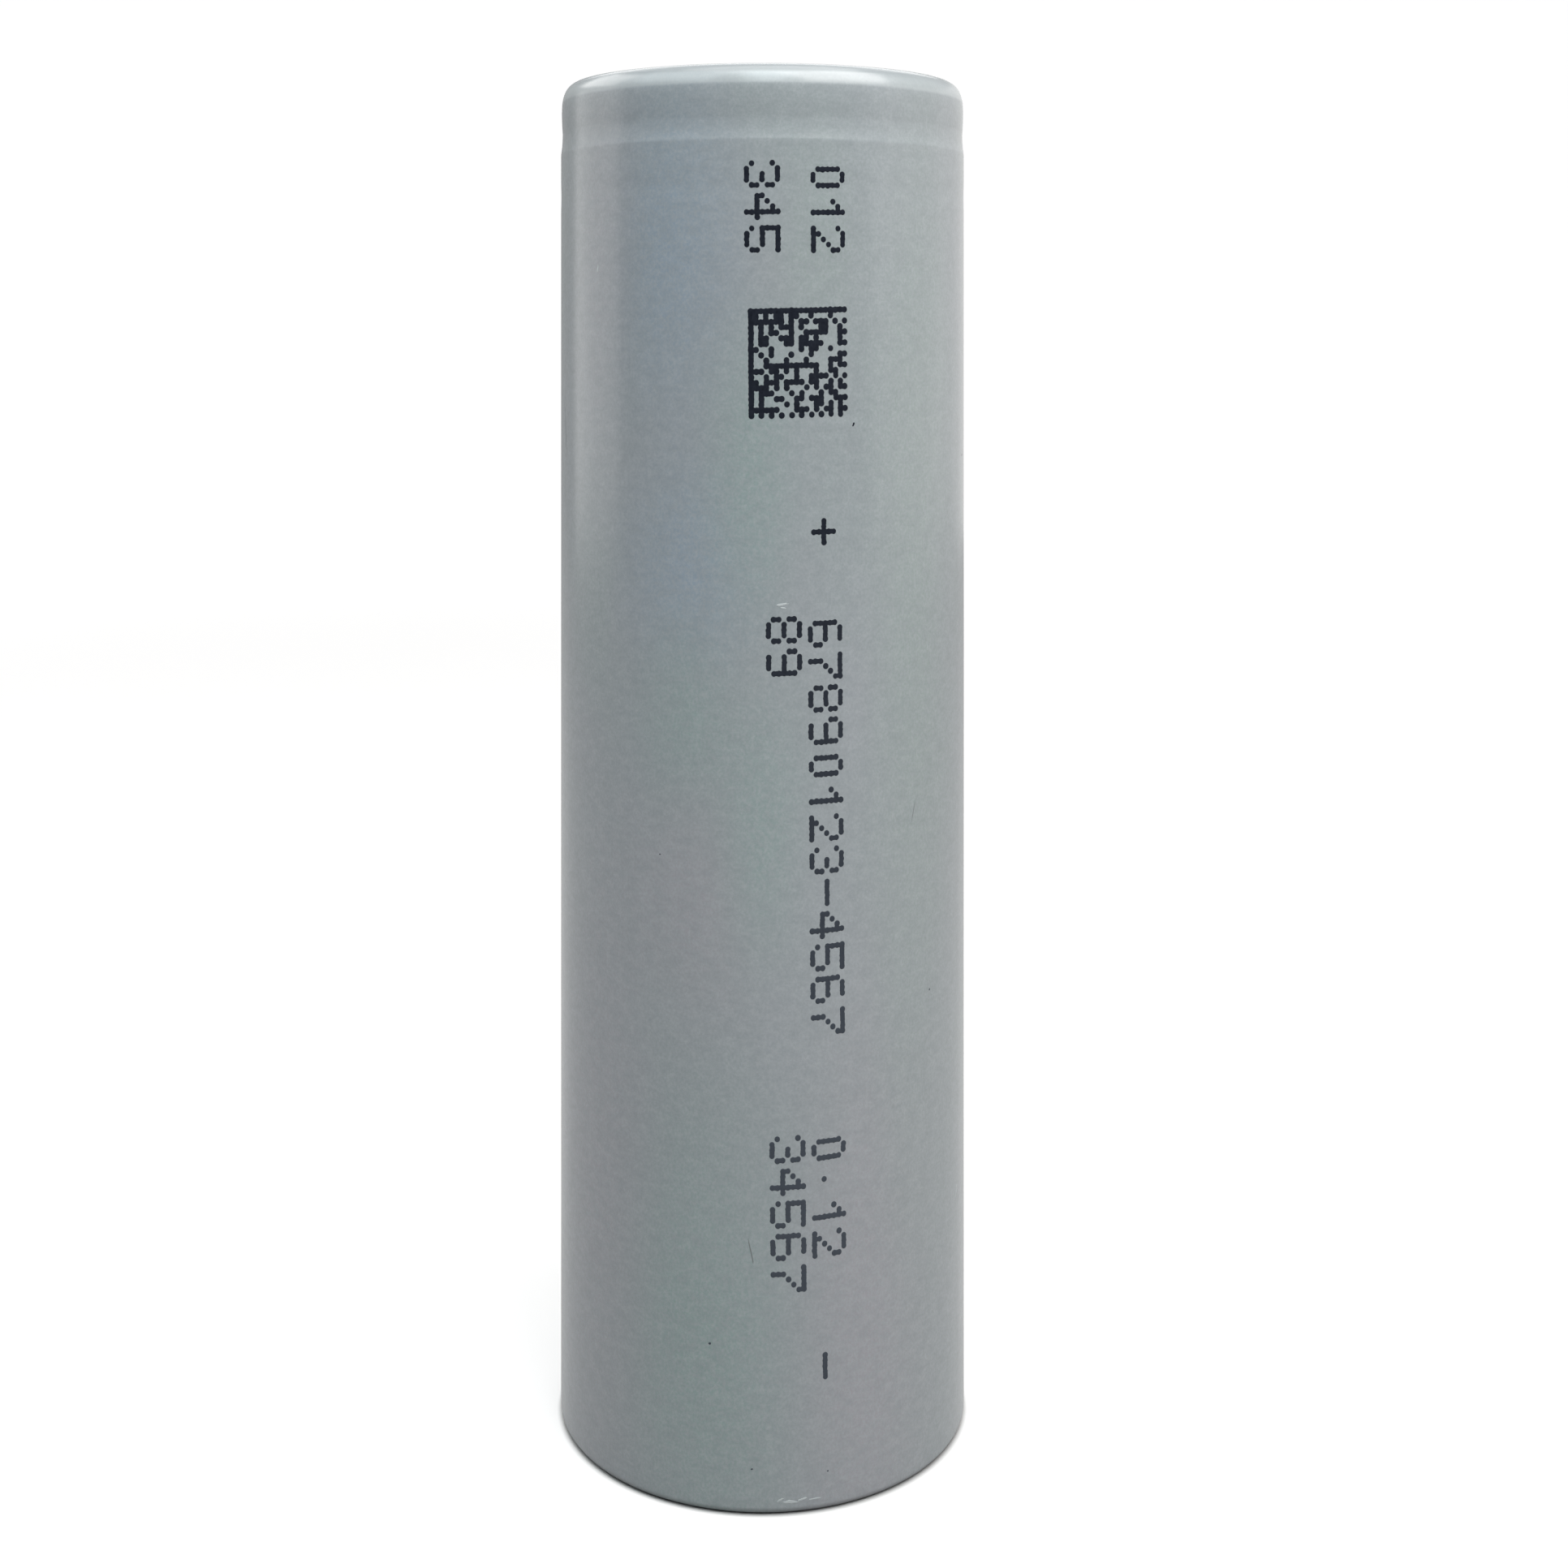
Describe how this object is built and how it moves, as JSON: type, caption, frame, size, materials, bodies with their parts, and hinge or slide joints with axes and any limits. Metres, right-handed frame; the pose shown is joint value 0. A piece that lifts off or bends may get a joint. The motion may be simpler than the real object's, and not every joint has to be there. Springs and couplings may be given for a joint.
{
  "type": "cylindrical battery cell",
  "caption": "Upright cylindrical lithium-ion cell in a grey shrink sleeve, with a raised positive cap, a bead groove and a wound electrode roll; stores energy.",
  "frame": {"origin": "centre of the sleeve's underside, the ring on which the cell stands", "axes": "+Z along the cell's axis towards the positive contact; the printed side of the sleeve faces -Y, and +X is to the right when the print is seen from the front"},
  "size_m": [0.0214, 0.0214, 0.0703],
  "materials": {
    "sleeve_film": "satin",
    "nickel_plated_steel": "satin",
    "white_board": "matte",
    "seal_plastic": "satin",
    "vent_aluminium": "satin",
    "nickel_tab": "satin",
    "insulator_plastic": "matte",
    "cathode_coating": "matte",
    "anode_coating": "matte",
    "separator_film": "satin",
    "roll_tape": "satin",
    "tab_tape": "gloss"
  },
  "bodies": {
    "cell": {"shrink_sleeve": "sleeve_film", "steel_can": "nickel_plated_steel", "top_washer": "white_board", "positive_cap": "nickel_plated_steel", "crimp_gasket": "seal_plastic", "vent_disc_rim": "vent_aluminium", "cid_insulator_ring": "insulator_plastic", "cid_weld_plate": "vent_aluminium", "upper_insulator": "insulator_plastic", "lower_insulator": "insulator_plastic", "cathode_tab": "vent_aluminium", "anode_tab": "nickel_tab", "cathode_sheet": "cathode_coating", "anode_sheet": "anode_coating", "separator_inner": "separator_film", "separator_outer": "separator_film", "centre_pin": "nickel_plated_steel", "roll_closing_tape": "roll_tape", "cathode_tab_tape": "tab_tape", "anode_tab_tape": "tab_tape"},
    "vent_centre": {"vent_disc_centre": "vent_aluminium"}
  },
  "joints": [
    {"name": "cid_snap", "type": "slide", "parent": "cell", "child": "vent_centre", "axis": [0, 0, 1], "range_m": [0, 0.0006]}
  ]
}
